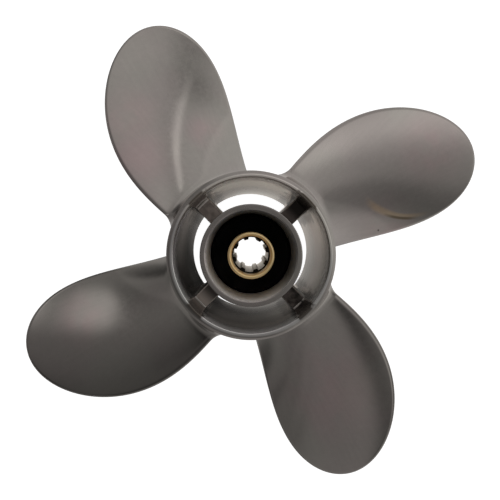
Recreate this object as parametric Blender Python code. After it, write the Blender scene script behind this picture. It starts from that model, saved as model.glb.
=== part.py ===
"""A four-blade outboard propeller with exhaust through its hub, in metres.

The shaft's axis is +Z and points forward, and z = 0 is the aft end of the hub, on which the propeller
stands. The real casting is one piece. Here its hub, webs and blades are separate solids, a thin gap
apart, and a rubber bushing and a splined brass sleeve sit in the hub's bore.
"""

import math

import bmesh
import bpy

MM = 0.001
GAP = 0.3 * MM

# Driving dimensions of the whole propeller. It is right-handed: it turns clockwise, seen from astern.
DIAMETER = 235 * MM
PITCH = 254 * MM
RAKE = 0.22
BLADES = 4

# The outer hub is a barrel that tapers aft to a waist and flares again at its aft rim.
HUB_LENGTH = 92 * MM
LIP_FACE_RADIUS = 34.7 * MM
LIP_BORE_RADIUS = 33.2 * MM
BARREL_RADIUS = 36.4 * MM
LIP_STEP = 3.2 * MM
WAIST_HEIGHT = 12 * MM
WAIST_RADIUS = 31.8 * MM
THROAT_RADIUS = 28.1 * MM
AFT_RIM_RADIUS = 33.6 * MM
AFT_BORE_RADIUS = 30.6 * MM

# The inner hub holds the bushing, and four webs carry it in the outer hub.
INNER_HUB_AFT = 4 * MM
INNER_HUB_RADIUS = 22 * MM
INNER_BORE_MOUTH_RADIUS = 19.6 * MM
INNER_BORE_RADIUS = 18.1 * MM
CHAMFER = 0.8 * MM
WEB_THICKNESS = 7.2 * MM
WEB_AFT = 8 * MM
WEB_FORE = 65 * MM
FIRST_WEB_ANGLE = math.radians(44)

# The rubber bushing grips the inner hub, and the brass sleeve is bonded in its middle.
RUBBER_AFT = 16 * MM
RUBBER_FORE = 65 * MM
RUBBER_CHAMFER = 1.5 * MM
SLEEVE_AFT = 12 * MM
SLEEVE_RADIUS = 10.1 * MM
COUNTERBORE_RADIUS = 8.3 * MM
COUNTERBORE_DEPTH = 14 * MM
SPLINE_TEETH = 8
SPLINE_ROOT_RADIUS = 7.65 * MM
SPLINE_TIP_RADIUS = 6.7 * MM
SPLINE_FOOT_SHARE = 0.40
SPLINE_CROWN_SHARE = 0.32
FIRST_TOOTH_ANGLE = math.radians(16.4)

# A blade is laid out on cylinders round the axis. Along it, from root to tip, `along` goes from 0 to 1.
# Its half-width is a cubic times a root that rounds off the tip, and its middle line's angle is a cubic.
# It thins towards the tip by a power of what is left of its length. A fillet runs round its root.
ROOT_RADIUS = 36 * MM
BLADE_HEIGHT = 60 * MM
BLADE_ZERO_ANGLE = 0.7
HALF_WIDTH = (20.7 * MM, 33.7 * MM, 28.1 * MM, -20.2 * MM)
MIDDLE_ANGLE = (0.602, -0.015, -0.297, 0.157)
ROOT_THICKNESS = 6.5 * MM
EDGE_THICKNESS = 1.2 * MM
THINNING = 0.75
ROOT_FILLET = 6 * MM
BLADE_END = 0.9995

# How finely the round and curved pieces are divided.
HUB_SIDES = 72
BORE_SIDES = 48
FILLET_ROWS = 3
BLADE_ROWS = 18
BLADE_STEPS = 16


def material(name, colour, roughness, metallic):
    made = bpy.data.materials.new(name)
    made.use_nodes = True
    shader = made.node_tree.nodes["Principled BSDF"]
    shader.inputs["Base Color"].default_value = (*colour, 1)
    shader.inputs["Roughness"].default_value = roughness
    shader.inputs["Metallic"].default_value = metallic
    return made


def strip(work, first, second):
    """Faces between two rows of corners."""
    for i in range(len(first) - 1):
        work.faces.new((first[i], first[i + 1], second[i + 1], second[i]))


def skinned(name, loops, finish, ends):
    """One closed body through a row of equal loops of points.

    Without ends, the last loop joins the first. With them, each end is filled by a strip of faces
    across its loop, so an end that lies on a round surface follows it.
    """
    work = bmesh.new()
    rows = [[work.verts.new(point) for point in loop] for loop in loops]
    pairs = list(zip(rows, rows[1:]))
    if not ends:
        pairs.append((rows[-1], rows[0]))
    for low, high in pairs:
        strip(work, low + low[:1], high + high[:1])
    if ends:
        half = len(rows[0]) // 2
        for row in (rows[0], rows[-1]):
            strip(work, row[:half], row[:half - 1:-1])
    bmesh.ops.recalc_face_normals(work, faces=work.faces)
    mesh = bpy.data.meshes.new(name)
    work.to_mesh(mesh)
    work.free()
    mesh.materials.append(finish)
    mesh.shade_smooth()
    mesh.set_sharp_from_angle(angle=math.radians(30))
    return placed(name, mesh)


def placed(name, mesh, turn=0.0):
    made = bpy.data.objects.new(name, mesh)
    made.rotation_euler.z = turn
    bpy.context.scene.collection.objects.link(made)
    return made


def polar(radius, angle, height):
    return (radius * math.cos(angle), radius * math.sin(angle), height)


def turned(name, profile, sides, finish):
    """A ring turned about the axis from a closed profile of (radius, height) corners."""
    angles = [2 * math.pi * i / sides for i in range(sides)]
    loops = [[polar(radius, angle, height) for angle in angles] for radius, height in profile]
    return skinned(name, loops, finish, ends=False)


def between(low, high, share):
    return low + (high - low) * share


def barrel_radius(height):
    """The outer hub's outside, between its waist and its lip."""
    share = (height - WAIST_HEIGHT) / (HUB_LENGTH - LIP_STEP - WAIST_HEIGHT)
    return between(WAIST_RADIUS, BARREL_RADIUS, share)


def duct_radius(height):
    """The outer hub's inside, which narrows from the lip to the throat and widens again aft of it."""
    if height < WAIST_HEIGHT:
        return between(AFT_BORE_RADIUS, THROAT_RADIUS, height / WAIST_HEIGHT)
    share = (height - WAIST_HEIGHT) / (HUB_LENGTH - WAIST_HEIGHT)
    return between(THROAT_RADIUS, LIP_BORE_RADIUS, share)


def outer_hub(finish):
    profile = [
        (AFT_BORE_RADIUS, 0),
        (AFT_RIM_RADIUS - CHAMFER, 0),
        (AFT_RIM_RADIUS, CHAMFER),
        (WAIST_RADIUS, WAIST_HEIGHT),
        (BARREL_RADIUS, HUB_LENGTH - LIP_STEP),
        (LIP_FACE_RADIUS, HUB_LENGTH - LIP_STEP / 3),
        (LIP_FACE_RADIUS, HUB_LENGTH),
        (LIP_BORE_RADIUS, HUB_LENGTH),
        (THROAT_RADIUS, WAIST_HEIGHT),
    ]
    turned("outer_hub", profile, HUB_SIDES, finish)


def inner_hub(finish):
    profile = [
        (INNER_BORE_RADIUS, INNER_HUB_AFT),
        (INNER_HUB_RADIUS - CHAMFER, INNER_HUB_AFT),
        (INNER_HUB_RADIUS, INNER_HUB_AFT + CHAMFER),
        (INNER_HUB_RADIUS, HUB_LENGTH - CHAMFER),
        (INNER_HUB_RADIUS - CHAMFER, HUB_LENGTH),
        (INNER_BORE_MOUTH_RADIUS, HUB_LENGTH),
        (INNER_BORE_RADIUS, RUBBER_FORE),
    ]
    turned("inner_hub", profile, BORE_SIDES, finish)


def webs(finish):
    """Four plates between the hubs. Each face that meets a hub is bent to it by a third column."""
    loops = []
    for height in (WEB_AFT, WAIST_HEIGHT, WEB_FORE):
        inside = INNER_HUB_RADIUS + GAP
        outside = duct_radius(height) - GAP
        sideways = [WEB_THICKNESS / 2 * side for side in (-1, 0, 1)]
        inner = [(math.sqrt(inside**2 - y**2), y, height) for y in sideways]
        outer = [(math.sqrt(outside**2 - y**2), y, height) for y in sideways]
        loops.append(inner + outer[::-1])
    first = skinned("web_1", loops, finish, ends=True)
    first.rotation_euler.z = FIRST_WEB_ANGLE
    for i in range(1, BLADES):
        placed(f"web_{i + 1}", first.data, FIRST_WEB_ANGLE + 2 * math.pi * i / BLADES)


def cubic(terms, x):
    return sum(term * x**power for power, term in enumerate(terms))


def blade_point(radius, across, side):
    """A point of a blade's surface on the cylinder of this radius.

    across goes from 0 at the trailing edge to 1 at the leading edge. side is -1 on the driving face,
    which is the true helix, 1 on the back, which is cambered and faces forward, and 0 midway.
    """
    along = (radius - ROOT_RADIUS) / (DIAMETER / 2 - ROOT_RADIUS)
    half = cubic(HALF_WIDTH, along) * math.sqrt(1 - along)
    angle = cubic(MIDDLE_ANGLE, along) + (2 * across - 1) * half / radius
    slope = PITCH / (2 * math.pi)
    height = BLADE_HEIGHT + slope * (angle - BLADE_ZERO_ANGLE) - RAKE * (radius - ROOT_RADIUS)
    lift = EDGE_THICKNESS / 2 * side
    if side > 0:
        camber = (ROOT_THICKNESS - EDGE_THICKNESS) * (1 - along) ** THINNING
        lift += camber * 4 * across * (1 - across)
    steep = math.atan2(slope, radius)
    return angle - lift * math.sin(steep) / radius, height + lift * math.cos(steep)


def root_radius(across, side):
    """The radius at which this line of the blade meets the hub."""
    radius = ROOT_RADIUS
    for _ in range(5):
        radius = barrel_radius(blade_point(radius, across, side)[1]) + GAP
    return radius


def root_loop(lines, roots, distance, stand_out):
    """A loop round the blade's root at this distance from the hub, moved out of the blade's section."""
    radii = [root + distance for root in roots]
    section = [blade_point(radius, *line) for radius, line in zip(radii, lines)]
    loop = []
    for i, (angle, height) in enumerate(section):
        radius = radii[i]
        (before, low), (after, high) = section[i - 1], section[(i + 1) % len(section)]
        sideways = math.atan2((after - before) * radius, low - high)
        out = height + stand_out * math.sin(sideways)
        on_hub = radius + barrel_radius(out) - barrel_radius(height)
        loop.append(polar(on_hub, angle + stand_out * math.cos(sideways) / radius, out))
    return loop


def blades(finish):
    """Each loop runs over the back, round the leading edge, and home over the driving face."""
    steps = [i / BLADE_STEPS for i in range(BLADE_STEPS + 1)]
    back = [(across, 1) for across in steps]
    face = [(across, -1) for across in reversed(steps)]
    lines = back + [(1, 0)] + face + [(0, 0)]
    roots = [root_radius(*line) for line in lines]
    loops = [root_loop(lines, roots, 0, 0)]
    for row in range(FILLET_ROWS):
        turn = math.pi / 2 * row / FILLET_ROWS
        away, stand_out = ROOT_FILLET * (1 - math.cos(turn)), ROOT_FILLET * (1 - math.sin(turn))
        loops.append(root_loop(lines, roots, away, stand_out))
    for row in range(BLADE_ROWS + 1):
        share = BLADE_END * (1 - (1 - row / BLADE_ROWS) ** 2)
        loop = []
        for root, line in zip(roots, lines):
            radius = between(root + ROOT_FILLET, DIAMETER / 2, share)
            loop.append(polar(radius, *blade_point(radius, *line)))
        loops.append(loop)
    first = skinned("blade_1", loops, finish, ends=True)
    for i in range(1, BLADES):
        placed(f"blade_{i + 1}", first.data, 2 * math.pi * i / BLADES)


def rubber_bushing(finish):
    inside = SLEEVE_RADIUS + GAP
    outside = INNER_BORE_RADIUS - GAP
    profile = [
        (inside, RUBBER_AFT),
        (outside - RUBBER_CHAMFER, RUBBER_AFT),
        (outside, RUBBER_AFT + RUBBER_CHAMFER),
        (outside, RUBBER_FORE - RUBBER_CHAMFER),
        (outside - RUBBER_CHAMFER, RUBBER_FORE),
        (inside, RUBBER_FORE),
    ]
    turned("rubber_bushing", profile, BORE_SIDES, finish)


def splined_sleeve(finish):
    """A tube whose bore has a plain mouth at each end, and eight teeth between them.

    A tooth has a foot and a corner on each flank, and the last point lies midway to the next tooth.
    """
    foot = SPLINE_FOOT_SHARE / 2
    crown = SPLINE_CROWN_SHARE / 2
    places = (-foot, -crown, 0, crown, foot, 0.5)
    radii = (SPLINE_ROOT_RADIUS,) + (SPLINE_TIP_RADIUS,) * 3 + (SPLINE_ROOT_RADIUS,) * 2
    tooth = 2 * math.pi / SPLINE_TEETH
    angles = [FIRST_TOOTH_ANGLE + tooth * (i + place) for i in range(SPLINE_TEETH) for place in places]
    toothed = radii * SPLINE_TEETH
    plain = (COUNTERBORE_RADIUS,) * len(angles)
    outside = (SLEEVE_RADIUS,) * len(angles)
    rims = [
        (outside, SLEEVE_AFT),
        (outside, HUB_LENGTH),
        (plain, HUB_LENGTH),
        (plain, HUB_LENGTH - COUNTERBORE_DEPTH),
        (toothed, HUB_LENGTH - COUNTERBORE_DEPTH),
        (toothed, SLEEVE_AFT + CHAMFER),
        (plain, SLEEVE_AFT + CHAMFER),
        (plain, SLEEVE_AFT),
    ]
    loops = [
        [polar(radius, angle, height) for radius, angle in zip(rim, angles)] for rim, height in rims
    ]
    skinned("splined_sleeve", loops, finish, ends=False)


for old in list(bpy.data.objects):
    bpy.data.objects.remove(old)

steel = material("cast_steel", (0.30, 0.28, 0.26), 0.35, 1.0)
rubber = material("bushing_rubber", (0.012, 0.012, 0.013), 0.6, 0.0)
brass = material("sleeve_brass", (0.78, 0.57, 0.28), 0.3, 1.0)

outer_hub(steel)
inner_hub(steel)
webs(steel)
blades(steel)
rubber_bushing(rubber)
splined_sleeve(brass)
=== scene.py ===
import math

import bmesh
import bpy
from mathutils import Matrix, Vector


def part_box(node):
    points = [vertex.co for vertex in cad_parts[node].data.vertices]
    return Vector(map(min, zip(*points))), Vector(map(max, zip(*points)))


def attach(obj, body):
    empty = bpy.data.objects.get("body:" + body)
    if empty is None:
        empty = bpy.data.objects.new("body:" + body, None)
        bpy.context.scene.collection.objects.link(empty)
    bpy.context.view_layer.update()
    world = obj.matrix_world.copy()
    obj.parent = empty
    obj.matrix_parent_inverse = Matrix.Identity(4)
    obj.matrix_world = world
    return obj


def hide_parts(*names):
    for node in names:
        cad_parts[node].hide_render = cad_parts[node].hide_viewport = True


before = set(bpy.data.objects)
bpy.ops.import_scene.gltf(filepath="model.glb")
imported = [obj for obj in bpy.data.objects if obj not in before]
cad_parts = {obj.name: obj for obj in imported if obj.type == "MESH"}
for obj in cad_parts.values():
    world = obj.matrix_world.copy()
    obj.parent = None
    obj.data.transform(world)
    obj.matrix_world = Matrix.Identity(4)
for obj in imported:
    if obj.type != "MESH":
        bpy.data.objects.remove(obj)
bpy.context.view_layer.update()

# The camera looks down the shaft from ahead of the propeller, nearly two degrees off its axis.
# It stands half a metre off, so the forward end looks almost a fifth larger than the aft end.
MM = 0.001
IMAGE_SIDE = 500
AXIS_PIXEL = (250.6, 253.3)
PIXELS_PER_METRE = 2203
AIM_HEIGHT = 60 * MM
CAMERA_DISTANCE = 520 * MM
TILT_BACK = 0.0304
TILT_LEFT = 0.007
SENSOR_WIDTH = 36

tilt = Matrix.Rotation(-TILT_BACK, 3, "X") @ Matrix.Rotation(-TILT_LEFT, 3, "Y")
camera = bpy.data.objects.new("camera", bpy.data.cameras.new("camera"))
bpy.context.scene.collection.objects.link(camera)
bpy.context.scene.camera = camera
camera.rotation_euler = tilt.to_euler()
camera.location = Vector((0, 0, AIM_HEIGHT)) + tilt @ Vector((0, 0, CAMERA_DISTANCE))
camera.data.sensor_width = SENSOR_WIDTH
camera.data.lens = SENSOR_WIDTH * PIXELS_PER_METRE * CAMERA_DISTANCE / IMAGE_SIDE
camera.data.shift_x = 0.5 - AXIS_PIXEL[0] / IMAGE_SIDE
camera.data.shift_y = AXIS_PIXEL[1] / IMAGE_SIDE - 0.5


# The outer hub is the barrel of the steel casting. Exhaust comes in at its forward lip, which is turned
# to run close to the gearcase, and leaves at the aft rim. The duct inside is polished and narrows to a
# throat. Its colour carries a painted highlight on its lit side, and painted shade beside the webs,
# under the lip and low down on the other side.
HUB_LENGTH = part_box("outer_hub")[1].z
BARREL_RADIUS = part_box("outer_hub")[1].x
LIP_FACE_RADIUS = 34.7 * MM
LIP_BORE_RADIUS = 33.4 * MM
LIP_STEP = 3.2 * MM
LIP_SHOULDER = 1.2 * MM
LIP_CHAMFER = 0.35 * MM
WAIST_HEIGHT = 12 * MM
WAIST_RADIUS = 31.8 * MM
THROAT_RADIUS = 27.85 * MM
AFT_RIM_RADIUS = 33.6 * MM
AFT_BORE_RADIUS = 30.6 * MM
WALL_MIDDLE_AFT = 29.2 * MM
WALL_TAPER = 0.0606
HUB_SIDES = 240
ARC_STEPS = 6
CREASE_ANGLE = math.radians(35)
FIRST_WEB_ANGLE = math.radians(44)
DUCT_LIT_ANGLE = math.radians(75)
STEEL = (0.356, 0.327, 0.303, 1)
ROSY_CAST = (1.015, 0.99, 1, 1)
GREEN_CAST = (0.99, 1.005, 0.99, 1)
CLOUD_TONES = (0.95, 1.03)
MOTTLE_TONE = 0.02
CLOUD_ROUGHNESS = 0.02

# The tones of the duct multiply the steel's own, and oxide is a share of the shine that is lost.
PLAIN = (1, 1, 1, 1)
DUCT_POLISH = (1.78, 1.87, 1.95, 1)
# A painted highlight that lightens the duct towards its lit side.
DUCT_PAINTED_HIGHLIGHT = (1.38, 1.33, 1.26, 1)
# Painted shade on the duct wall beside the webs.
CORNER_PAINTED_SHADE = (0.2, 0.18, 0.16, 1)
# Painted shade in a line under the lip's chamfer.
LIP_PAINTED_SHADE = (0.35, 0.33, 0.31, 1)
# Painted shade low down in the duct, away from its lit side.
LOW_PAINTED_SHADE = (0.28, 0.27, 0.26, 1)
DUCT_OXIDE = 0.07
LIP_OXIDE = 0.85

# A span says where a mask starts to change and where it stops, along a height, a radius, the distance
# from a web, or the distance out from the axis towards the duct's lit side, where its highlight is
# painted.
WALL_SPAN = (-0.5 * MM, 0.5 * MM)
LIT_SIDE_SPAN = (1 * MM, 18 * MM)
CORNER_SPAN = (3.5 * MM, 6 * MM)
CORNER_SHADE_RAGGEDNESS = 1.5 * MM
CORNER_WIDENING = 4 * MM
CORNER_HEIGHTS = (66 * MM, 73 * MM)
LIP_SHADE_HEIGHTS = (HUB_LENGTH - 4.5 * MM, HUB_LENGTH - 2.5 * MM)
LIP_SHADE_RADII = (33.8 * MM, 33.9 * MM)
LIP_SHADE_SIDE = (-14 * MM, 2 * MM)
LOW_SHADE_START = (22 * MM, 38 * MM)
LOW_SHADE_END = (62 * MM, 76 * MM)
LOW_SHADE_SIDE = (-29 * MM, -18 * MM)
OXIDE_HEIGHTS = (72 * MM, 88 * MM)
OXIDE_END = (HUB_LENGTH - 0.6 * MM, HUB_LENGTH - 0.3 * MM)


def polar(radius, angle, height):
    return Vector((radius * math.cos(angle), radius * math.sin(angle), height))


def rounded(corners):
    """A closed outline of (x, y, bend) corners, each turned into an arc of its bend's radius."""
    points = []
    for i, (x, y, bend) in enumerate(corners):
        here = Vector((x, y))
        if not bend:
            points.append(here)
            continue
        to_last = (Vector(corners[i - 1][:2]) - here).normalized()
        to_next = (Vector(corners[(i + 1) % len(corners)][:2]) - here).normalized()
        half = to_last.angle(to_next) / 2
        centre = here + (to_last + to_next).normalized() * bend / math.sin(half)
        from_centre = here + to_last * bend / math.tan(half) - centre
        to_end = here + to_next * bend / math.tan(half) - centre
        sweep = math.pi - 2 * half
        for step in range(ARC_STEPS + 1):
            turn = sweep * step / ARC_STEPS
            blend = from_centre * math.sin(sweep - turn) + to_end * math.sin(turn)
            points.append(centre + blend / math.sin(sweep))
    return points


def strip(work, first, second):
    """Faces between two rows of corners."""
    for i in range(len(first) - 1):
        work.faces.new((first[i], first[i + 1], second[i + 1], second[i]))


def skinned(name, loops, ends):
    """One closed mesh through a row of equal loops, joined end to start or with each end filled across."""
    work = bmesh.new()
    rows = [[work.verts.new(point) for point in loop] for loop in loops]
    pairs = list(zip(rows, rows[1:]))
    if not ends:
        pairs.append((rows[-1], rows[0]))
    for low, high in pairs:
        strip(work, low + low[:1], high + high[:1])
    if ends:
        half = len(rows[0]) // 2
        for row in (rows[0], rows[-1]):
            strip(work, row[:half], row[:half - 1:-1])
    bmesh.ops.recalc_face_normals(work, faces=work.faces)
    mesh = bpy.data.meshes.new(name)
    work.to_mesh(mesh)
    work.free()
    mesh.shade_smooth()
    mesh.set_sharp_from_angle(angle=CREASE_ANGLE)
    return mesh


def turned(name, profile):
    """A mesh turned about the shaft's axis from a closed profile of (radius, height) points."""
    angles = [2 * math.pi * i / HUB_SIDES for i in range(HUB_SIDES)]
    return skinned(name, [[polar(r, angle, z) for angle in angles] for r, z in profile], ends=False)


def piece(name, mesh, finish, slot, *nodes):
    """The mesh as a piece of the propeller that stands for these nodes."""
    made = bpy.data.objects.new(name, mesh)
    bpy.context.scene.collection.objects.link(made)
    mesh.materials.append(finish)
    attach(made, "root")
    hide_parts(*nodes)


def add(tree, kind, settings, inputs):
    """A node with these settings, and with each input set to a value or linked to a socket."""
    made = tree.nodes.new("ShaderNode" + kind)
    for name, value in settings.items():
        setattr(made, name, value)
    for name, value in inputs.items():
        if isinstance(value, bpy.types.NodeSocket):
            tree.links.new(value, made.inputs[name])
        else:
            made.inputs[name].default_value = value
    return made


def maths(tree, operation, *values):
    return add(tree, "Math", {"operation": operation}, dict(enumerate(values))).outputs[0]


def product(tree, first, *others):
    for other in others:
        first = maths(tree, "MULTIPLY", first, other)
    return first


def vector_maths(tree, operation, *values):
    return add(tree, "VectorMath", {"operation": operation}, dict(enumerate(values))).outputs


def scaled(tree, vector, factor):
    return add(tree, "VectorMath", {"operation": "SCALE"}, {0: vector, 3: factor}).outputs[0]


def facing(tree, first, second):
    return vector_maths(tree, "DOT_PRODUCT", first, second)["Value"]


def split(tree, vector):
    return add(tree, "SeparateXYZ", {}, {0: vector}).outputs


def object_place(tree):
    return tree.nodes.new("ShaderNodeTexCoord").outputs["Object"]


def flat_place(tree):
    """The place seen along the shaft's axis, with no height."""
    return vector_maths(tree, "MULTIPLY", object_place(tree), (1, 1, 0))["Vector"]


def axis_place(tree):
    """The distance from the shaft's axis, and the height."""
    return vector_maths(tree, "LENGTH", flat_place(tree))["Value"], split(tree, object_place(tree))["Z"]


def toward(tree, angle):
    """How far a place lies out from the axis in the direction of this angle."""
    return facing(tree, object_place(tree), (math.cos(angle), math.sin(angle), 0))


def ramp(tree, value, low, high, start=0, end=1):
    """The value's range low to high turned smoothly into the range start to end."""
    limits = {"Value": value, "From Min": low, "From Max": high, "To Min": start, "To Max": end}
    return add(tree, "MapRange", {"interpolation_type": "SMOOTHSTEP"}, limits).outputs["Result"]


def falling(tree, value, span):
    """A mask that is 1 before the span and 0 after it."""
    return ramp(tree, value, *span, 1, 0)


def within(tree, value, first, last):
    """A mask that rises over the first span and falls over the last."""
    return product(tree, ramp(tree, value, *first), falling(tree, value, last))


def mix(tree, share, first, second, blend="MIX"):
    """A colour this share of the way from the first to the second."""
    settings = {"data_type": "RGBA", "blend_type": blend}
    return add(tree, "Mix", settings, {0: share, 6: first, 7: second}).outputs[2]


def tinted(tree, first, second):
    """One colour multiplied by another."""
    return mix(tree, 1, first, second, "MULTIPLY")


def noise(tree, place, scale, detail=2, roughness=0.5):
    """Noise with this many features to the metre."""
    levels = {"Vector": place, "Scale": scale, "Detail": detail, "Roughness": roughness}
    return add(tree, "TexNoise", {}, levels).outputs["Fac"]


def varied(tree, level, start, end, spread=0.2):
    """Noise, most of which lies within this spread of a half, turned into the range start to end."""
    return ramp(tree, level, 0.5 - spread, 0.5 + spread, start, end)


def bump(tree, height, distance, normal=None):
    inputs = {"Height": height, "Distance": distance, "Strength": 1}
    if normal:
        inputs["Normal"] = normal
    return add(tree, "Bump", {}, inputs).outputs["Normal"]


def new_group(name, sockets, results):
    """An empty node group with its inputs and outputs, each given as a name and a kind."""
    tree = bpy.data.node_groups.new(name, "ShaderNodeTree")
    for label, kind in sockets:
        tree.interface.new_socket(label, in_out="INPUT", socket_type="NodeSocket" + kind)
    for label, kind in results:
        tree.interface.new_socket(label, in_out="OUTPUT", socket_type="NodeSocket" + kind)
    return tree, tree.nodes.new("NodeGroupInput").outputs, tree.nodes.new("NodeGroupOutput").inputs


def placed_group(tree, group, inputs):
    return add(tree, "Group", {"node_tree": group}, inputs).outputs


def ground_steel_group():
    """Ground steel: broad clouds of tone, fine mottling, slow waves and a grain under the gloss."""
    tree, given, result = new_group(
        "ground_steel",
        [("Colour", "Color"), ("Roughness", "Float"), ("Wave Height", "Float"), ("Grain Height", "Float")],
        [("Colour", "Color"), ("Roughness", "Float"), ("Normal", "Vector")],
    )
    place = object_place(tree)
    clouds = noise(tree, place, scale=28, detail=3)
    mottle = noise(tree, place, scale=420, detail=4, roughness=0.6)
    mottle = varied(tree, mottle, -MOTTLE_TONE, MOTTLE_TONE)
    tone = maths(tree, "ADD", varied(tree, clouds, *CLOUD_TONES), mottle)
    cast = varied(tree, noise(tree, place, scale=30), 0, 1, spread=0.15)
    coloured = tinted(tree, given["Colour"], mix(tree, cast, ROSY_CAST, GREEN_CAST))
    tree.links.new(scaled(tree, coloured, tone), result["Colour"])
    uneven = maths(tree, "ADD", mottle, varied(tree, clouds, CLOUD_ROUGHNESS, -CLOUD_ROUGHNESS))
    tree.links.new(maths(tree, "ADD", given["Roughness"], uneven), result["Roughness"])
    waves = bump(tree, noise(tree, place, scale=40, detail=1), given["Wave Height"])
    grain = noise(tree, place, scale=2600)
    tree.links.new(bump(tree, grain, given["Grain Height"], waves), result["Normal"])
    return tree


def web_distance_group():
    """The distance from the middle plane of the nearest web."""
    tree, _, result = new_group("web_distance", [], [("Distance", "Float")])
    square_to_webs = [toward(tree, FIRST_WEB_ANGLE + turn) for turn in (0, math.pi / 2)]
    distances = [maths(tree, "ABSOLUTE", out) for out in square_to_webs]
    tree.links.new(maths(tree, "MINIMUM", *distances), result["Distance"])
    return tree


ground_steel = ground_steel_group()
web_distance = web_distance_group()


def new_finish(name, metallic):
    """A material, its node tree and its shader."""
    made = bpy.data.materials.new(name)
    made.use_nodes = True
    shader = made.node_tree.nodes["Principled BSDF"]
    shader.inputs["Metallic"].default_value = metallic
    return made, made.node_tree, shader


def grind(tree, shader, colour, roughness, wave, grain):
    """Gives the shader a ground surface of this colour and returns the surface's outputs."""
    inputs = {"Colour": colour, "Roughness": roughness, "Wave Height": wave, "Grain Height": grain}
    surface = placed_group(tree, ground_steel, inputs)
    for name, label in (("Colour", "Base Color"), ("Roughness", "Roughness"), ("Normal", "Normal")):
        tree.links.new(surface[name], shader.inputs[label])
    return surface


hub_finish, tree, shader = new_finish("hub_steel", metallic=1)
surface = grind(tree, shader, STEEL, roughness=0.15, wave=0.15 * MM, grain=0.003 * MM)
radius, height = axis_place(tree)
wall_middle = maths(tree, "MULTIPLY_ADD", height, WALL_TAPER, WALL_MIDDLE_AFT)
duct = falling(tree, maths(tree, "SUBTRACT", radius, wall_middle), WALL_SPAN)
# The duct is painted lighter towards its lit side: a painted highlight.
toward_lit_side = toward(tree, DUCT_LIT_ANGLE)
lit_side_mask = product(tree, ramp(tree, toward_lit_side, *LIT_SIDE_SPAN), duct)
brightened_tone = tinted(tree, surface["Colour"], mix(tree, duct, PLAIN, DUCT_POLISH))
brightened_tone = tinted(tree, brightened_tone, mix(tree, lit_side_mask, PLAIN, DUCT_PAINTED_HIGHLIGHT))
# Painted shade on the duct wall beside each web's end, ragged and wider further aft.
off_web = placed_group(tree, web_distance, {})["Distance"]
shade_raggedness = noise(tree, object_place(tree), scale=300, detail=4)
shade_raggedness = varied(tree, shade_raggedness, -CORNER_SHADE_RAGGEDNESS, CORNER_SHADE_RAGGEDNESS)
widening = ramp(tree, height, *CORNER_HEIGHTS, CORNER_WIDENING, 0)
off_corner = maths(tree, "SUBTRACT", maths(tree, "ADD", off_web, shade_raggedness), widening)
corner_shade = product(tree, falling(tree, off_corner, CORNER_SPAN), duct)
painted_shade = mix(tree, corner_shade, PLAIN, CORNER_PAINTED_SHADE)
# Painted shade in a line under the lip, on the duct's lit side.
lip_shade = product(
    tree,
    ramp(tree, height, *LIP_SHADE_HEIGHTS),
    falling(tree, radius, LIP_SHADE_RADII),
    ramp(tree, toward_lit_side, *LIP_SHADE_SIDE),
)
painted_shade = mix(tree, lip_shade, painted_shade, LIP_PAINTED_SHADE)
# Painted shade low down in the duct, away from its lit side.
low_shade = product(
    tree,
    within(tree, height, LOW_SHADE_START, LOW_SHADE_END),
    falling(tree, toward_lit_side, LOW_SHADE_SIDE),
    duct,
)
painted_shade = mix(tree, low_shade, painted_shade, tinted(tree, painted_shade, LOW_PAINTED_SHADE))
tree.links.new(tinted(tree, brightened_tone, painted_shade), shader.inputs["Base Color"])
oxide = ramp(tree, height, *OXIDE_HEIGHTS, DUCT_OXIDE, LIP_OXIDE)
oxide = product(tree, oxide, falling(tree, height, OXIDE_END), duct)
tree.links.new(maths(tree, "SUBTRACT", 1, oxide), shader.inputs["Metallic"])

outer_profile = rounded(
    [
        (AFT_BORE_RADIUS, 0, 0.6 * MM),
        (AFT_RIM_RADIUS, 0, 1.0 * MM),
        (WAIST_RADIUS, WAIST_HEIGHT, 12 * MM),
        (BARREL_RADIUS, HUB_LENGTH - LIP_STEP, 0.6 * MM),
        (BARREL_RADIUS - 0.1 * MM, HUB_LENGTH - LIP_SHOULDER, 0.3 * MM),
        (LIP_FACE_RADIUS + 0.7 * MM, HUB_LENGTH - LIP_CHAMFER, 0.8 * MM),
        (LIP_FACE_RADIUS - 0.25 * MM, HUB_LENGTH, 0.5 * MM),
        (LIP_BORE_RADIUS + LIP_CHAMFER, HUB_LENGTH, 0.05 * MM),
        (LIP_BORE_RADIUS, HUB_LENGTH - LIP_CHAMFER, 0.08 * MM),
        (THROAT_RADIUS, WAIST_HEIGHT, 6 * MM),
    ]
)
barrel = turned("outer_hub_casting", outer_profile)
piece(barrel.name, barrel, hub_finish, "cast_steel", "outer_hub")


# The four blades are cast with the hub and ground to a satin finish. A blade is laid out on cylinders
# round the axis, its driving face is a true helix, and a brighter fillet runs round its root. The first
# blade has a painted reflection, a tan arc with a brown one, and a small pit.
BLADES = 4
TIP_RADIUS = 117.5 * MM
ROOT_RADIUS = 36 * MM
PITCH = 254 * MM
RAKE = 0.22
BLADE_HEIGHT = 60 * MM
BLADE_ZERO_ANGLE = 0.7
ROOT_THICKNESS = 6.5 * MM
EDGE_THICKNESS = 1.2 * MM
THINNING = 0.75
BACK_BEVEL = 1.5 * MM
ROOT_FILLET = 6 * MM
SINK = 0.5 * MM
SLANT_STEP = 0.1 * MM
ROOT_TRIES = 6
FILLET_ROWS = 10
BLADE_ROWS = 90
BLADE_STEPS = 96

# From root to tip, the terms of the cubics that give a blade's half width, before it is rounded off
# at the tip, and the angle of its middle line.
HALF_WIDTH = (20.7 * MM, 33.7 * MM, 28.1 * MM, -20.2 * MM)
MIDDLE_ANGLE = (0.602, -0.015, -0.297, 0.157)

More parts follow.
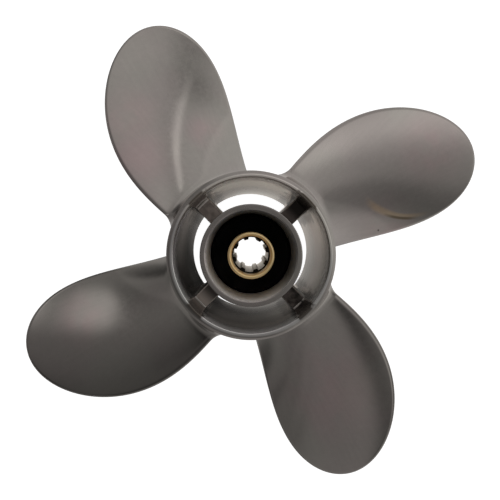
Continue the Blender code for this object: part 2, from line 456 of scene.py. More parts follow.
# The rosy spots are patches of a warmer tone. Each has its place and half its reach in millimetres,
# and all are thinned by a patchy noise. The streaks run along the radius and change little on the way.
ROSY_STEEL = (0.392, 0.321, 0.308, 1)
ROSY_SPOTS = (
    (-51, 43, 13),
    (-55, 61, 10),
    (-21, 57, 6),
    (85, 49, 12),
    (66, 12, 10),
    (38, -65, 17),
    (-80, -32, 9),
)
PATCH_SPAN = (0.3, 0.6)
PATCH_LEAST = 0.35
FILLET_POLISH = (1.4, 1.4, 1.4, 1)
FILLET_RADII = (36.5 * MM, 39 * MM)
STREAK_TONES = (0.985, 1.015)
STREAK_CHANGE = 0.6

# The painted reflection is the lower half of a circle: a tan arc, and a thinner brown one just outside
# it. Their starts and ends are spans along x.
REFLECTION_CENTRE = (75 * MM, 54 * MM, 0)
REFLECTION_RADIUS = 37.2 * MM
REFLECTION_STRENGTH = 0.9
TAN_PAINTED_REFLECTION = (0.52, 0.40, 0.29, 1)
TAN_INSET = 0.3 * MM
TAN_START = (52 * MM, 59 * MM)
TAN_END = (74 * MM, 88 * MM)
TAN_NARROWING = (58 * MM, 74 * MM)
TAN_HALF_WIDTHS = (2.4 * MM, 1.3 * MM)
TAN_EDGE = (0.2, 1.1)
BROWN_PAINTED_REFLECTION = (0.20, 0.15, 0.10, 1)
BROWN_OUTSET = 0.9 * MM
BROWN_START = (61 * MM, 69 * MM)
BROWN_END = (74 * MM, 82 * MM)
BROWN_EDGE = (0.2 * MM, 1.0 * MM)
PIT_PLACE = (61 * MM, 10.2 * MM, 0)
PIT_EDGE = (0.2 * MM, 0.6 * MM)
PIT_STRENGTH = 0.85
PIT_COLOUR = (0.02, 0.01, 0.01, 1)


def between(low, high, share):
    return low + (high - low) * share


def barrel_radius(height):
    """The outer hub's outside, between its waist and its lip."""
    share = (height - WAIST_HEIGHT) / (HUB_LENGTH - LIP_STEP - WAIST_HEIGHT)
    return between(WAIST_RADIUS, BARREL_RADIUS, share)


def cubic(terms, x):
    return sum(term * x**power for power, term in enumerate(terms))


def half_width(radius):
    along = (radius - ROOT_RADIUS) / (TIP_RADIUS - ROOT_RADIUS)
    return cubic(HALF_WIDTH, along) * math.sqrt(max(0, 1 - along))


def blade_point(radius, across, side):
    """(angle, height) of a point of a blade's surface on the cylinder of this radius.

    across goes from 0 at the trailing edge to 1 at the leading edge. side is -1 on the driving face and
    1 on the back. The surface turns over to meet itself at the edge.
    """
    along = (radius - ROOT_RADIUS) / (TIP_RADIUS - ROOT_RADIUS)
    half = half_width(radius)
    slant = (half - half_width(radius - SLANT_STEP)) / SLANT_STEP
    inset = half * (1 - abs(2 * across - 1)) / math.sqrt(1 + slant**2)
    edge = EDGE_THICKNESS / 2
    bevel = BACK_BEVEL if side > 0 else edge
    lift = edge * math.sqrt(1 - (1 - min(1, inset / bevel)) ** 2) * side
    if side > 0:
        thickening = (ROOT_THICKNESS - EDGE_THICKNESS) * max(0, 1 - along) ** THINNING
        lift += thickening * 4 * across * (1 - across)
    angle = cubic(MIDDLE_ANGLE, along) + (2 * across - 1) * half / radius
    slope = PITCH / (2 * math.pi)
    height = BLADE_HEIGHT + slope * (angle - BLADE_ZERO_ANGLE) - RAKE * (radius - ROOT_RADIUS)
    steep = math.atan2(slope, radius)
    return angle - lift * math.sin(steep) / radius, height + lift * math.cos(steep)


def root_radius(line):
    """The radius at which this line of the blade meets the hub."""
    radius = ROOT_RADIUS
    for _ in range(ROOT_TRIES):
        radius = barrel_radius(blade_point(radius, *line)[1])
    return radius


def fillet_loop(lines, roots, distance, stand_out):
    """A loop round the root at this distance from the hub, moved out of the blade's own section."""
    radii = [root + distance for root in roots]
    section = [blade_point(radius, *line) for radius, line in zip(radii, lines)]
    flat = [Vector((radius * angle, height)) for radius, (angle, height) in zip(radii, section)]
    loop = []
    for i, radius in enumerate(radii):
        along = flat[(i + 1) % len(flat)] - flat[i - 1]
        out = flat[i] + Vector((-along.y, along.x)).normalized() * stand_out
        on_hub = radius + barrel_radius(out.y) - barrel_radius(flat[i].y)
        loop.append(polar(on_hub, out.x / radius, out.y))
    return loop


def distance_from(tree, point):
    """The distance of a place from this point, seen along the shaft's axis."""
    return vector_maths(tree, "DISTANCE", flat_place(tree), point)["Value"]


blade_finish, tree, shader = new_finish("blade_steel", metallic=1)
rosy = 0
for x, y, size in ROSY_SPOTS:
    away = distance_from(tree, (x * MM, y * MM, 0))
    rosy = maths(tree, "MAXIMUM", falling(tree, away, (0, 2 * size * MM)), rosy)
patches = noise(tree, object_place(tree), scale=90, detail=3)
rosy = product(tree, rosy, ramp(tree, patches, *PATCH_SPAN, PATCH_LEAST, 1))
tone = mix(tree, rosy, STEEL, ROSY_STEEL)
radius, _ = axis_place(tree)
tone = mix(tree, falling(tree, radius, FILLET_RADII), tone, tinted(tree, tone, FILLET_POLISH))

x, y, _ = split(tree, object_place(tree))
# A painted reflection on the first blade: a tan arc, and a thinner brown one just outside it.
off_arc = maths(tree, "SUBTRACT", distance_from(tree, REFLECTION_CENTRE), REFLECTION_RADIUS)
lower_half = maths(tree, "GREATER_THAN", REFLECTION_CENTRE[1], y)
off_tan = maths(tree, "ABSOLUTE", maths(tree, "ADD", off_arc, TAN_INSET))
off_tan = maths(tree, "DIVIDE", off_tan, ramp(tree, x, *TAN_NARROWING, *TAN_HALF_WIDTHS))
tan_reflection = ramp(tree, off_tan, *TAN_EDGE, REFLECTION_STRENGTH, 0)
tan_reflection = product(tree, tan_reflection, within(tree, x, TAN_START, TAN_END), lower_half)
off_brown = maths(tree, "ABSOLUTE", maths(tree, "SUBTRACT", off_arc, BROWN_OUTSET))
brown_reflection = ramp(tree, off_brown, *BROWN_EDGE, REFLECTION_STRENGTH, 0)
brown_reflection = product(tree, brown_reflection, within(tree, x, BROWN_START, BROWN_END), lower_half)
tone = mix(tree, brown_reflection, mix(tree, tan_reflection, tone, TAN_PAINTED_REFLECTION), BROWN_PAINTED_REFLECTION)

outward = vector_maths(tree, "NORMALIZE", flat_place(tree))["Vector"]
change = maths(tree, "MULTIPLY", radius, STREAK_CHANGE)
change = add(tree, "CombineXYZ", {}, {2: change}).outputs[0]
streak_place = vector_maths(tree, "ADD", outward, change)["Vector"]
streaks = noise(tree, streak_place, scale=60, detail=3, roughness=0.6)
tone = scaled(tree, tone, varied(tree, streaks, *STREAK_TONES))
pit = ramp(tree, distance_from(tree, PIT_PLACE), *PIT_EDGE, PIT_STRENGTH, 0)
tone = mix(tree, pit, tone, PIT_COLOUR)
grind(tree, shader, tone, roughness=0.12, wave=0.12 * MM, grain=0.004 * MM)

steps = [(1 - math.cos(math.pi * i / BLADE_STEPS)) / 2 for i in range(BLADE_STEPS + 1)]
lines = [(across, 1) for across in steps] + [(across, -1) for across in reversed(steps[1:-1])]
roots = [root_radius(line) for line in lines]
loops = [fillet_loop(lines, roots, -SINK, ROOT_FILLET)]
for row in range(FILLET_ROWS):
    turn = math.pi / 2 * row / FILLET_ROWS
    away = ROOT_FILLET * (1 - math.cos(turn))
    stand_out = ROOT_FILLET * (1 - math.sin(turn))
    loops.append(fillet_loop(lines, roots, away, stand_out))
for row in range(BLADE_ROWS + 1):
    share = 1 - (1 - row / (BLADE_ROWS + 0.5)) ** 2
    radii = [between(root + ROOT_FILLET, TIP_RADIUS, share) for root in roots]
    loops.append([polar(radius, *blade_point(radius, *line)) for radius, line in zip(radii, lines)])
for number in range(BLADES):
    mesh = skinned(f"blade_casting_{number + 1}", loops, ends=True)
    mesh.transform(Matrix.Rotation(math.pi / 2 * number, 4, "Z"))
    piece(mesh.name, mesh, blade_finish, "cast_steel", f"blade_{number + 1}")


# Four webs carry the inner hub in the outer one. They are left as cast, with a small radius along each
# edge, and they flare a little where they run into the hubs. Painted shade covers their flanks, the
# crevice at their outer ends and more and more of their faces towards one side, and painted
# highlights run along their edges and low on their flanks.
INNER_HUB_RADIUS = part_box("inner_hub")[1].x
INNER_HUB_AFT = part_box("inner_hub")[0].z
WEB_THICKNESS = 7.2 * MM
WEB_AFT = 8 * MM
WEB_FORE = 65 * MM
WEB_FLARE = 1.0 * MM
WEB_EDGE = 0.6 * MM
WEB_END_ZONE = 2 * MM
WEB_SIDE_STEPS = 32
WEB_LEVELS = 20

# This near to its fore face a web flares less, and there the corner of its outer end is drawn in, which
# leaves a notch beside the wall. The two low webs have a smaller one.
NOTCH_DEPTH = 4 * MM
NOTCH_FLARE = 0.2
WEB_NOTCH = 1.1 * MM
LOW_WEB_NOTCH = 0.5 * MM

WEB_METALLIC = 0.85
EDGE_ROUGHNESS = 0.2
WEB_BROWN = (0.60, 0.50, 0.45, 1)
# A painted highlight for the webs' edges.
PAINTED_EDGE_HIGHLIGHT = (0.85, 0.78, 0.72, 1)
# Painted shade for the webs' flanks, crevices and shaded side.
WEB_PAINTED_SHADE = (0.030, 0.025, 0.022, 1)
WEB_SHADED_ANGLE = math.radians(20)
WEB_SHADE_RAGGEDNESS = 7 * MM
WEB_SHADED_SPAN = (-36 * MM, 24 * MM)
END_HIGHLIGHT_SPAN = (15 * MM, 22 * MM)
FLANK_PAINTED_SHADE = 0.8
END_DEPTHS = (1.1 * MM, 0.9 * MM)
CREVICE_DEPTHS = (0.6 * MM, 0.4 * MM)

# Near the inner hub the third web has more painted shade than that pattern gives, and the first has
# less. A place is on one of them when it lies farther out than this in its direction.
ON_WEB_RADIUS = 20 * MM
THIRD_WEB_RADII = (24 * MM, 31 * MM)
THIRD_WEB_PAINTED_SHADE = 0.9
FIRST_WEB_RADII = (23 * MM, 28 * MM)
FIRST_WEB_SHADE_LIFTED = 0.22

# Spans of height, and of distance from a web's middle plane.
FRONT_HEIGHTS = (WEB_FORE - 1.2 * MM, WEB_FORE - 0.6 * MM)
END_HEIGHTS = (WEB_FORE - 0.3 * MM, WEB_FORE - 0.1 * MM)
EDGE_SPAN = (3.15 * MM, 3.3 * MM)
LOW_FLANK_SPAN = (3.4 * MM, 3.5 * MM)
LOW_FLANK_HEIGHTS = (24 * MM, 32 * MM)


def duct_radius(height):
    """The outer hub's inside, which narrows from the lip to the throat and widens again aft of it."""
    if height < WAIST_HEIGHT:
        return between(AFT_BORE_RADIUS, THROAT_RADIUS, height / WAIST_HEIGHT)
    share = (height - WAIST_HEIGHT) / (HUB_LENGTH - WAIST_HEIGHT)
    return between(THROAT_RADIUS, LIP_BORE_RADIUS, share)


def fillet(distance, bend):
    """How far a fillet of this radius stands out at this distance from the surface that it runs into."""
    if distance >= bend:
        return 0
    return bend - math.sqrt(bend**2 - (bend - max(0, distance)) ** 2)


def web_loop(height, shrink, notch):
    """A web's outline at one height, drawn in by shrink. Its ends are sunk a little into both hubs."""
    inside = INNER_HUB_RADIUS - SINK
    wall = duct_radius(height)
    outside = wall + SINK
    flare = WEB_FLARE
    if height > WEB_FORE - NOTCH_DEPTH:
        flare *= NOTCH_FLARE
        outside -= shrink / WEB_EDGE * notch
    side = []
    for step in range(WEB_SIDE_STEPS + 1):
        radius = between(inside, outside, step / WEB_SIDE_STEPS)
        half = WEB_THICKNESS / 2 - shrink
        half += fillet(radius - inside - SINK, flare) + fillet(wall - radius, flare)
        side.append((math.asin(half / radius), radius))
    loop = [polar(radius, angle, height) for angle, radius in side]
    loop += [polar(radius, -angle, height) for angle, radius in reversed(side)]
    return loop


def between_sockets(tree, share, first, second):
    """A number this share of the way from the first to the second."""
    return add(tree, "Mix", {"data_type": "FLOAT"}, {0: share, 2: first, 3: second}).outputs[0]


web_finish, tree, shader = new_finish("web_steel", WEB_METALLIC)
# Painted shade over the webs, deepening towards one side, with more at the third web's foot and less at
# the first's.
ragged = noise(tree, object_place(tree), scale=420, detail=4)
ragged = varied(tree, ragged, -WEB_SHADE_RAGGEDNESS, WEB_SHADE_RAGGEDNESS)
shaded_side = maths(tree, "ADD", toward(tree, WEB_SHADED_ANGLE), ragged)
along_first = toward(tree, FIRST_WEB_ANGLE)
along_third = maths(tree, "MULTIPLY", along_first, -1)
on_third = maths(tree, "GREATER_THAN", along_third, ON_WEB_RADIUS)
shaded_foot = product(tree, ramp(tree, along_third, *THIRD_WEB_RADII, THIRD_WEB_PAINTED_SHADE, 0), on_third)
on_first = maths(tree, "GREATER_THAN", along_first, ON_WEB_RADIUS)
lit_foot = product(tree, ramp(tree, along_first, *FIRST_WEB_RADII, FIRST_WEB_SHADE_LIFTED, 0), on_first)
web_shade = maths(tree, "MAXIMUM", ramp(tree, shaded_side, *WEB_SHADED_SPAN), shaded_foot)
shaded_colour = mix(tree, maths(tree, "SUBTRACT", web_shade, lit_foot), WEB_BROWN, WEB_PAINTED_SHADE)
surface = grind(tree, shader, shaded_colour, roughness=0.38, wave=0.6 * MM, grain=0.03 * MM)

# A painted highlight along the edges of each web's fore face, round its outer end except on the shaded
# side, and low on its flanks.
off_web = placed_group(tree, web_distance, {})["Distance"]
radius, height = axis_place(tree)
front = ramp(tree, height, *FRONT_HEIGHTS)
low_web = maths(tree, "LESS_THAN", split(tree, object_place(tree))["Y"], 0)
reach = maths(tree, "MULTIPLY", low_web, WEB_NOTCH - LOW_WEB_NOTCH)
to_end = maths(tree, "SUBTRACT", radius, reach)
wall = duct_radius(WEB_FORE)
end = ramp(tree, to_end, *[wall - depth for depth in END_DEPTHS])
end = product(tree, end, falling(tree, shaded_side, END_HIGHLIGHT_SPAN), ramp(tree, height, *END_HEIGHTS))
edge = product(tree, maths(tree, "MAXIMUM", ramp(tree, off_web, *EDGE_SPAN), end), front)
low_flank_highlight = product(tree, ramp(tree, off_web, *LOW_FLANK_SPAN), falling(tree, height, LOW_FLANK_HEIGHTS))
unshaded = maths(tree, "MAXIMUM", front, low_flank_highlight)
# Painted shade on the flanks, except near the fore face and low down, and in the crevice at each outer
# end.
flank_shade = maths(tree, "MULTIPLY", maths(tree, "SUBTRACT", 1, unshaded), FLANK_PAINTED_SHADE)
crevice_shade = ramp(tree, to_end, *[wall - depth for depth in CREVICE_DEPTHS])
coloured = mix(tree, maths(tree, "MAXIMUM", flank_shade, crevice_shade), surface["Colour"], WEB_PAINTED_SHADE)
edge = maths(tree, "MAXIMUM", edge, low_flank_highlight)
tree.links.new(mix(tree, edge, coloured, PAINTED_EDGE_HIGHLIGHT), shader.inputs["Base Color"])
edge_roughness = between_sockets(tree, edge, surface["Roughness"], EDGE_ROUGHNESS)
tree.links.new(edge_roughness, shader.inputs["Roughness"])

turns = [math.pi / 2 * step / ARC_STEPS for step in range(ARC_STEPS + 1)]
rims = [(WEB_EDGE * (1 - math.sin(turn)), WEB_EDGE * (1 - math.cos(turn))) for turn in turns]
levels = [(WEB_AFT + away, shrink) for away, shrink in rims]
first_level = WEB_AFT + WEB_END_ZONE
last_level = WEB_FORE - WEB_END_ZONE
levels += [(between(first_level, last_level, step / WEB_LEVELS), 0) for step in range(WEB_LEVELS + 1)]
levels += [(WEB_FORE - away, shrink) for away, shrink in rims]
levels.sort()
for number in range(BLADES):
    notch = WEB_NOTCH if number < 2 else LOW_WEB_NOTCH
    mesh = skinned(f"web_casting_{number + 1}", [web_loop(*level, notch) for level in levels], ends=True)
    mesh.transform(Matrix.Rotation(FIRST_WEB_ANGLE + math.pi / 2 * number, 4, "Z"))
    piece(mesh.name, mesh, web_finish, "cast_steel", f"web_{number + 1}")


# The inner hub is the thick tube in the middle of the casting. Its bore and its forward face are turned,
# with a chamfer round the bore's mouth, and the bushing is pressed into it. The bore is dull, with
# painted shade that deepens away from one side, and the tube's outside shines like the duct.
INNER_BORE_MOUTH_RADIUS = 19.6 * MM
INNER_BORE_RADIUS = 18.1 * MM
INNER_MOUTH_CHAMFER = 0.34 * MM
RUBBER_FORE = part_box("rubber_bushing")[1].z
TURNED_DEPTH = 0.01 * MM
BORE_GREY = (0.90, 0.87, 0.85, 1)
# Painted shade for the bore away from its lit side.
BORE_PAINTED_SHADE = (0.29, 0.29, 0.29, 1)
BORE_METALLIC = 0.1
BORE_ROUGHNESS = 0.5
OUTSIDE_ROUGHNESS = 0.3
BORE_LIT_ANGLE = math.radians(240)
BORE_LIT_SPAN = (-2 * MM, 12 * MM)
BORE_SPAN = (INNER_BORE_MOUTH_RADIUS - 0.1 * MM, INNER_BORE_MOUTH_RADIUS + 0.1 * MM)
OUTSIDE_RADII = (21.7 * MM, 21.9 * MM)
OUTSIDE_HEIGHTS = (89 * MM, 91 * MM)


def turned_marks_group():
    """Marks of a lathe: fine rings round the axis, some deeper than others."""
    tree, given, result = new_group(
        "turned_marks",
        [("Height", "Float"), ("Normal", "Vector")],
        [("Normal", "Vector")],
    )
    radius, height = axis_place(tree)
    rings = add(tree, "CombineXYZ", {}, {0: radius, 1: height}).outputs[0]
    lines = noise(tree, rings, scale=5200, detail=3, roughness=0.7)
    tree.links.new(bump(tree, lines, given["Height"], given["Normal"]), result["Normal"])
    return tree


turned_marks = turned_marks_group()


def add_lathe_marks(tree, shader, surface):
    """Puts a lathe's marks over the surface that the shader has."""
    marks = placed_group(tree, turned_marks, {"Height": TURNED_DEPTH, "Normal": surface["Normal"]})
    tree.links.new(marks["Normal"], shader.inputs["Normal"])


inner_finish, tree, shader = new_finish("turned_steel", metallic=1)
surface = grind(tree, shader, STEEL, roughness=0.25, wave=0.2 * MM, grain=0.01 * MM)
add_lathe_marks(tree, shader, surface)
radius, height = axis_place(tree)
outside = product(tree, ramp(tree, radius, *OUTSIDE_RADII), falling(tree, height, OUTSIDE_HEIGHTS))
bored = falling(tree, radius, BORE_SPAN)
brightened_tone = tinted(tree, surface["Colour"], mix(tree, outside, PLAIN, DUCT_POLISH))
# The bore is painted darker away from its lit side: painted shade.
lit_side_mask = ramp(tree, toward(tree, BORE_LIT_ANGLE), *BORE_LIT_SPAN)
bore_tone = mix(tree, lit_side_mask, BORE_PAINTED_SHADE, BORE_GREY)
tree.links.new(mix(tree, bored, brightened_tone, bore_tone), shader.inputs["Base Color"])
roughness = between_sockets(tree, outside, surface["Roughness"], OUTSIDE_ROUGHNESS)
tree.links.new(between_sockets(tree, bored, roughness, BORE_ROUGHNESS), shader.inputs["Roughness"])
tree.links.new(between_sockets(tree, bored, 1, BORE_METALLIC), shader.inputs["Metallic"])

inner_profile = rounded(
    [
        (INNER_BORE_RADIUS, INNER_HUB_AFT, 0.4 * MM),
        (INNER_HUB_RADIUS, INNER_HUB_AFT, 0.8 * MM),
        (INNER_HUB_RADIUS, HUB_LENGTH, 0.5 * MM),
        (INNER_BORE_MOUTH_RADIUS + 0.5 * MM, HUB_LENGTH, 0.08 * MM),
        (INNER_BORE_MOUTH_RADIUS - 0.02 * MM, HUB_LENGTH - INNER_MOUTH_CHAMFER, 0.08 * MM),
        (INNER_BORE_RADIUS, RUBBER_FORE, 2 * MM),
    ]
)
tube = turned("inner_hub_casting", inner_profile)
piece(tube.name, tube, inner_finish, "cast_steel", "inner_hub")


# The rubber bushing is moulded round the sleeve and pressed into the inner hub, where it slips if the
# propeller hits something. It is matte black, with a bevel round each end, and it runs a little into
# the sleeve and the tube, so that no gap shows.
SLEEVE_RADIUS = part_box("splined_sleeve")[1].x
RUBBER_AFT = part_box("rubber_bushing")[0].z
RUBBER_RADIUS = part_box("rubber_bushing")[1].x
RUBBER_BEVEL = 1.2 * MM
RUBBER_BEND = 0.4 * MM
RUBBER_GRIP = 0.1 * MM
RUBBER_DARK = (0.004, 0.004, 0.0045, 1)
RUBBER_LIGHT = (0.010, 0.010, 0.011, 1)
RUBBER_SPECULAR = 0.06
RUBBER_ROUGHNESS = (0.8, 0.95)
PORE_DEPTH = 0.1 * MM

rubber_finish, tree, shader = new_finish("bushing_rubber", metallic=0)
shader.inputs["Specular IOR Level"].default_value = RUBBER_SPECULAR
place = object_place(tree)
blotches = varied(tree, noise(tree, place, scale=90, detail=3), 0, 1, spread=0.15)
tree.links.new(mix(tree, blotches, RUBBER_DARK, RUBBER_LIGHT), shader.inputs["Base Color"])
matte = varied(tree, noise(tree, place, scale=700, detail=3), *RUBBER_ROUGHNESS)
tree.links.new(matte, shader.inputs["Roughness"])
pores = noise(tree, place, scale=900, detail=4)
tree.links.new(bump(tree, pores, PORE_DEPTH), shader.inputs["Normal"])

rubber_profile = rounded(
    [
        (SLEEVE_RADIUS - RUBBER_GRIP, RUBBER_AFT, 0),
        (RUBBER_RADIUS - RUBBER_BEVEL, RUBBER_AFT, RUBBER_BEND),
        (RUBBER_RADIUS, RUBBER_AFT + RUBBER_BEVEL, RUBBER_BEND),
        (INNER_BORE_RADIUS + RUBBER_GRIP, (RUBBER_AFT + RUBBER_FORE) / 2, 0),
        (RUBBER_RADIUS, RUBBER_FORE - RUBBER_BEVEL, RUBBER_BEND),
        (RUBBER_RADIUS - RUBBER_BEVEL, RUBBER_FORE, RUBBER_BEND),
        (SLEEVE_RADIUS - RUBBER_GRIP, RUBBER_FORE, 0),
    ]
)
piece("rubber", turned("rubber", rubber_profile), rubber_finish, "bushing_rubber", "rubber_bushing")


# The sleeve is a turned brass tube with eight broached teeth that take the propeller shaft's splines.
# A wider plain mouth runs in from its forward end, and the thrust washer seats on its crowned face.
# The ledge where the teeth start is painted black as shade, and the teeth are worn pale.
SLEEVE_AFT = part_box("splined_sleeve")[0].z
COUNTERBORE_RADIUS = 8.3 * MM
COUNTERBORE_DEPTH = 14 * MM
LEDGE = HUB_LENGTH - COUNTERBORE_DEPTH
MOUTH_BEVEL = 0.7 * MM
MOUTH_DEPTH = 0.8 * MM
CROWN_WIDTH = 0.5 * MM
CROWN_DEPTH = 0.6 * MM
CROWN_BEND = 0.6 * MM
AFT_CHAMFER = 0.8 * MM
SPLINE_TEETH = 8
SPLINE_ROOT_RADIUS = 7.65 * MM
SPLINE_TIP_RADIUS = 6.7 * MM
SPLINE_FOOT_SHARE = 0.40
SPLINE_CROWN_SHARE = 0.32
SPLINE_GAP_SHARES = (0.3, 0.4, 0.5, 0.6, 0.7)
FIRST_TOOTH_ANGLE = math.radians(16.4)
TOOTH_BEND = 0.12 * MM
BRASS = (1.0, 0.74, 0.38, 1)
WORN_TEETH = (0.80, 0.76, 0.69, 1)
# Painted shade for the ledge where the teeth start.
LEDGE_PAINTED_SHADE = (0.012, 0.011, 0.010, 1)
BRASS_SPECULAR = 0.5
LEDGE_SHADE_SPECULAR = 0.1
INSIDE_ROUGHNESS = 0.5
INSIDE_SPAN = (COUNTERBORE_RADIUS - 0.1 * MM, COUNTERBORE_RADIUS + 0.1 * MM)
LEDGE_SHADE_HEIGHT = LEDGE + 0.2 * MM
LEDGE_SHADE_SPAN = (0.4 * MM, 1.2 * MM)
TOOTH_HEIGHTS = (LEDGE - 0.5 * MM, LEDGE)


def spline_outline():
    """The toothed bore's outline: eight crowns and eight roots, each an arc, with bent corners."""
    foot = SPLINE_FOOT_SHARE / 2
    crown = SPLINE_CROWN_SHARE / 2
    tooth_corners = [
        (-foot, SPLINE_ROOT_RADIUS, TOOTH_BEND),
        (-crown, SPLINE_TIP_RADIUS, TOOTH_BEND),
        (0, SPLINE_TIP_RADIUS, 0),
        (crown, SPLINE_TIP_RADIUS, TOOTH_BEND),
        (foot, SPLINE_ROOT_RADIUS, TOOTH_BEND),
    ]
    tooth_corners += [(share, SPLINE_ROOT_RADIUS, 0) for share in SPLINE_GAP_SHARES]
    corners = []
    for tooth in range(SPLINE_TEETH):
        for share, radius, bend in tooth_corners:
            angle = FIRST_TOOTH_ANGLE + 2 * math.pi * (tooth + share) / SPLINE_TEETH
            corners.append((radius * math.cos(angle), radius * math.sin(angle), bend))
    return rounded(corners)


brass_finish, tree, shader = new_finish("turned_brass", metallic=1)
surface = grind(tree, shader, BRASS, roughness=0.35, wave=0.1 * MM, grain=0.006 * MM)
add_lathe_marks(tree, shader, surface)
radius, height = axis_place(tree)
# Painted shade on the ledge where the teeth start: black, dull and not metallic.
off_ledge_shade = maths(tree, "ABSOLUTE", maths(tree, "SUBTRACT", height, LEDGE_SHADE_HEIGHT))
inside = falling(tree, radius, INSIDE_SPAN)
ledge_shade = product(tree, falling(tree, off_ledge_shade, LEDGE_SHADE_SPAN), inside)
toothed = product(tree, falling(tree, height, TOOTH_HEIGHTS), inside)
worn = mix(tree, toothed, surface["Colour"], WORN_TEETH)
tree.links.new(mix(tree, ledge_shade, worn, LEDGE_PAINTED_SHADE), shader.inputs["Base Color"])
roughness = between_sockets(tree, inside, surface["Roughness"], INSIDE_ROUGHNESS)
tree.links.new(roughness, shader.inputs["Roughness"])
tree.links.new(between_sockets(tree, ledge_shade, 1, 0), shader.inputs["Metallic"])
specular = between_sockets(tree, ledge_shade, BRASS_SPECULAR, LEDGE_SHADE_SPECULAR)
tree.links.new(specular, shader.inputs["Specular IOR Level"])

sleeve_profile = rounded(
    [
        (COUNTERBORE_RADIUS, LEDGE, 0),
        (COUNTERBORE_RADIUS, HUB_LENGTH - MOUTH_DEPTH, 0.2 * MM),
        (COUNTERBORE_RADIUS + MOUTH_BEVEL, HUB_LENGTH, CROWN_BEND),
        (SLEEVE_RADIUS - CROWN_WIDTH, HUB_LENGTH, CROWN_BEND),
        (SLEEVE_RADIUS, HUB_LENGTH - CROWN_DEPTH, 0.3 * MM),
        (SLEEVE_RADIUS, SLEEVE_AFT, 0.4 * MM),
        (COUNTERBORE_RADIUS, SLEEVE_AFT, 0.3 * MM),
        (COUNTERBORE_RADIUS, SLEEVE_AFT + AFT_CHAMFER, 0),
    ]
)
outline = spline_outline()
loops = [[polar(r, math.atan2(p.y, p.x), z) for p in outline] for r, z in sleeve_profile]
loops += [[Vector((p.x, p.y, z)) for p in outline] for z in (SLEEVE_AFT + AFT_CHAMFER, LEDGE)]
piece("sleeve", skinned("sleeve", loops, ends=False), brass_finish, "sleeve_brass", "splined_sleeve")


# The propeller stands in a white room lit by large soft boxes, with dark gaps and panels between them.
# An even light, and one that changes across the room, fill in between them.
AMBIENT = 0.36
GRADIENT = (0.145, 0.135, -0.11)
GROUND_LIGHT = 0.09
GROUND_GRADIENT = (0.04, 0.035, 0)
HORIZON_SPAN = (-0.02, 0.02)
LEAST_LIGHT = 0.02

# Each box has its angle round the axis, its angle off the zenith and its own turn, in degrees. Then come
# half its breadth and half its height as sines, how hard its edge is, and its strength, which is below
# zero where it takes light away.
SOFT_BOXES = {
    "lamp on the right": (5, 58, -5, 0.25, 0.2, 1, 0.55),
    "large panel behind": (80, 50, -20, 0.65, 0.3, 2, 0.25),
    "strip at the far left": (143, 72, 35, 0.25, 0.07, 2, 0.5),
    "panel in front": (-100, 74, -30, 0.5, 0.4, 4, 0.15),
    "strip behind": (68, 72, -15, 0.25, 0.04, 3, 0.5),
    "gap beside the strip": (48, 72, 40, 0.25, 0.05, 1, -0.3),
    "dark low right": (-35, 85, -55, 0.4, 0.25, 2, -0.2),
    "dark left wall": (195, 68, 30, 0.6, 0.2, 1, -0.12),
    "low panel on the right": (25, 78, 0, 0.95, 0.25, 2, 0.15),
    "low panel at the near left": (-140, 75, -40, 0.5, 0.15, 4, 0.06),
    "lamp at the near right": (304, 57, -5, 0.2, 0.15, 2, 0.3),
    "gap in front": (279, 65, 30, 0.1, 0.15, 1, -0.25),
    "dark floor at the left": (205, 110, 15, 0.2, 0.2, 2, -0.15),
    "dark floor under the strip": (122, 107, 90, 0.28, 0.1, 2, -0.25),
    "dark floor at the far left": (134, 138, 90, 0.85, 0.25, 1, -0.37),
    "light floor at the near right": (304, 118, 10, 0.5, 0.35, 1, 0.25),
}


def soft_box_group():
    """A soft box's light in one direction: even inside, and fading out round its edge."""
    vectors = [("Direction", "Vector"), ("Towards", "Vector"), ("Across", "Vector"), ("Up", "Vector")]
    numbers = [("Edge", "Float"), ("Strength", "Float")]
    tree, given, result = new_group("soft_box", vectors + numbers, [("Light", "Float")])
    spread = 0
    for label in ("Across", "Up"):
        offset = facing(tree, given["Direction"], given[label])
        spread = maths(tree, "ADD", maths(tree, "MULTIPLY", offset, offset), spread)
    falloff = maths(tree, "MULTIPLY", maths(tree, "POWER", spread, given["Edge"]), -1)
    in_front = maths(tree, "GREATER_THAN", facing(tree, given["Direction"], given["Towards"]), 0)
    light = product(tree, maths(tree, "EXPONENT", falloff), in_front, given["Strength"])
    tree.links.new(light, result["Light"])
    return tree


def box_inputs(direction, azimuth, zenith, turn, half_across, half_up, edge, strength):
    """The inputs that place a soft box where its numbers say."""
    azimuth, zenith, turn = math.radians(azimuth), math.radians(zenith), math.radians(turn)
    towards = polar(math.sin(zenith), azimuth, math.cos(zenith))
    side = Vector((-math.sin(azimuth), math.cos(azimuth), 0))
    rise = towards.cross(side)
    return {
        "Direction": direction,
        "Towards": towards,
        "Across": (math.cos(turn) * side + math.sin(turn) * rise) / half_across,
        "Up": (math.cos(turn) * rise - math.sin(turn) * side) / half_up,
        "Edge": edge,
        "Strength": strength,
    }


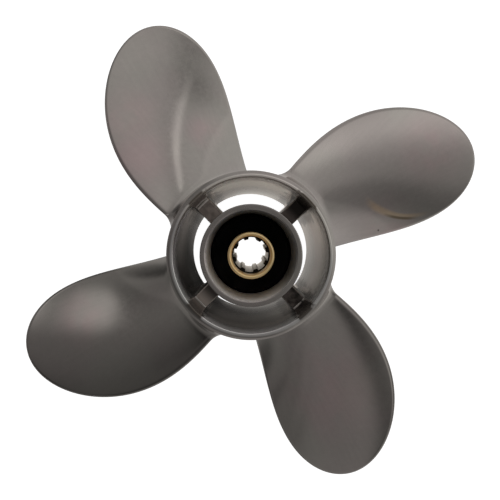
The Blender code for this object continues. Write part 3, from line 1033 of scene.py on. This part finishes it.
soft_box = soft_box_group()
world = bpy.data.worlds.new("studio")
bpy.context.scene.world = world
world.use_nodes = True
tree = world.node_tree
direction = tree.nodes.new("ShaderNodeTexCoord").outputs["Generated"]
light = maths(tree, "ADD", facing(tree, direction, GRADIENT), AMBIENT)
for box in SOFT_BOXES.values():
    box_light = placed_group(tree, soft_box, box_inputs(direction, *box))["Light"]
    light = maths(tree, "ADD", light, box_light)
below = falling(tree, split(tree, direction)["Z"], HORIZON_SPAN)
ground_light = maths(tree, "ADD", facing(tree, direction, GROUND_GRADIENT), GROUND_LIGHT)
light = maths(tree, "ADD", light, maths(tree, "MULTIPLY", below, ground_light))
light = maths(tree, "MAXIMUM", light, LEAST_LIGHT)
studio_light = tree.nodes["Background"]
studio_light.inputs["Color"].default_value = (1, 1, 1, 1)
tree.links.new(light, studio_light.inputs["Strength"])
backdrop = add(tree, "Background", {}, {"Color": (1, 1, 1, 1), "Strength": 1})
seen = tree.nodes.new("ShaderNodeLightPath").outputs["Is Camera Ray"]
lit = add(tree, "MixShader", {}, {0: seen, 1: studio_light.outputs[0], 2: backdrop.outputs[0]})
tree.links.new(lit.outputs[0], tree.nodes["World Output"].inputs["Surface"])


# The floor is a white sheet that glows a little, so that it stays white under the object.
# Polished steel doesn't mirror it, because the room's own light takes its place there.
FLOOR_SIDE = 40
FLOOR_GREY = (0.5, 0.5, 0.5, 1)

half = FLOOR_SIDE / 2
floor_corners = [(-half, -half, 0), (half, -half, 0), (half, half, 0), (-half, half, 0)]
floor_mesh = bpy.data.meshes.new("floor")
floor_mesh.from_pydata(floor_corners, [], [(0, 1, 2, 3)])
floor = bpy.data.objects.new("floor", floor_mesh)
bpy.context.scene.collection.objects.link(floor)
floor_finish, tree, shader = new_finish("white_floor", metallic=0)
shader.inputs["Base Color"].default_value = FLOOR_GREY
shader.inputs["Roughness"].default_value = 1
shader.inputs["Specular IOR Level"].default_value = 0
shader.inputs["Emission Color"].default_value = (1, 1, 1, 1)
shader.inputs["Emission Strength"].default_value = 1
floor_mesh.materials.append(floor_finish)
floor.visible_glossy = False


# A glowing disc just under the hub is what the polished duct and the sleeve mirror. It is brighter
# towards its rim behind the shaft, in its middle under the bore, and in a band in front.
DISC_DEPTH = 1 * MM
DISC_SIDES = 64
DISC_COLOUR = (1, 0.96, 0.91, 1)
RIM_LIGHT = 0.67
RIM_GRADIENT = (0.02, 1.25, 0)
RIM_POWER = 3
MIDDLE_LIGHT = 0.11
MIDDLE_GRADIENT = (0.21, 0.035, 0)
BORE_LIGHT = 1.1
BORE_FALLOFF = -12
BAND_LIGHT = 0.2
BAND_START = (0.47, 0.58)
BAND_END = (0.70, 0.85)
BAND_DIRECTION = (0.3, -1, 0)
BAND_SIDE = (0.35, 0.65)

angles = [2 * math.pi * i / DISC_SIDES for i in range(DISC_SIDES)]
disc_corners = [polar(AFT_RIM_RADIUS, angle, -DISC_DEPTH) for angle in angles]
disc_mesh = bpy.data.meshes.new("light_under_hub")
disc_mesh.from_pydata(disc_corners, [], [list(range(DISC_SIDES))])
disc = bpy.data.objects.new("light_under_hub", disc_mesh)
bpy.context.scene.collection.objects.link(disc)
disc_finish, tree, shader = new_finish("light_under_hub", metallic=0)
flat = scaled(tree, flat_place(tree), 1 / AFT_RIM_RADIUS)
spread = facing(tree, flat, flat)
rim = maths(tree, "ADD", facing(tree, flat, RIM_GRADIENT), RIM_LIGHT)
rim = maths(tree, "MULTIPLY", maths(tree, "POWER", spread, RIM_POWER), rim)
middle = maths(tree, "ADD", facing(tree, flat, MIDDLE_GRADIENT), MIDDLE_LIGHT)
glow = maths(tree, "MAXIMUM", maths(tree, "ADD", rim, middle), LEAST_LIGHT)
band = product(
    tree,
    ramp(tree, spread, *BAND_START, 0, BAND_LIGHT),
    falling(tree, spread, BAND_END),
    ramp(tree, facing(tree, flat, BAND_DIRECTION), *BAND_SIDE),
)
glow = maths(tree, "ADD", glow, band)
under_bore = maths(tree, "EXPONENT", maths(tree, "MULTIPLY", spread, BORE_FALLOFF))
glow = maths(tree, "MULTIPLY_ADD", under_bore, BORE_LIGHT, glow)
tree.links.new(glow, shader.inputs["Emission Strength"])
shader.inputs["Emission Color"].default_value = DISC_COLOUR
shader.inputs["Base Color"].default_value = (0, 0, 0, 1)
shader.inputs["Specular IOR Level"].default_value = 0
disc_mesh.materials.append(disc_finish)
disc.visible_camera = False
disc.visible_diffuse = False
disc.visible_shadow = False
bpy.context.scene.view_settings.view_transform = "Standard"
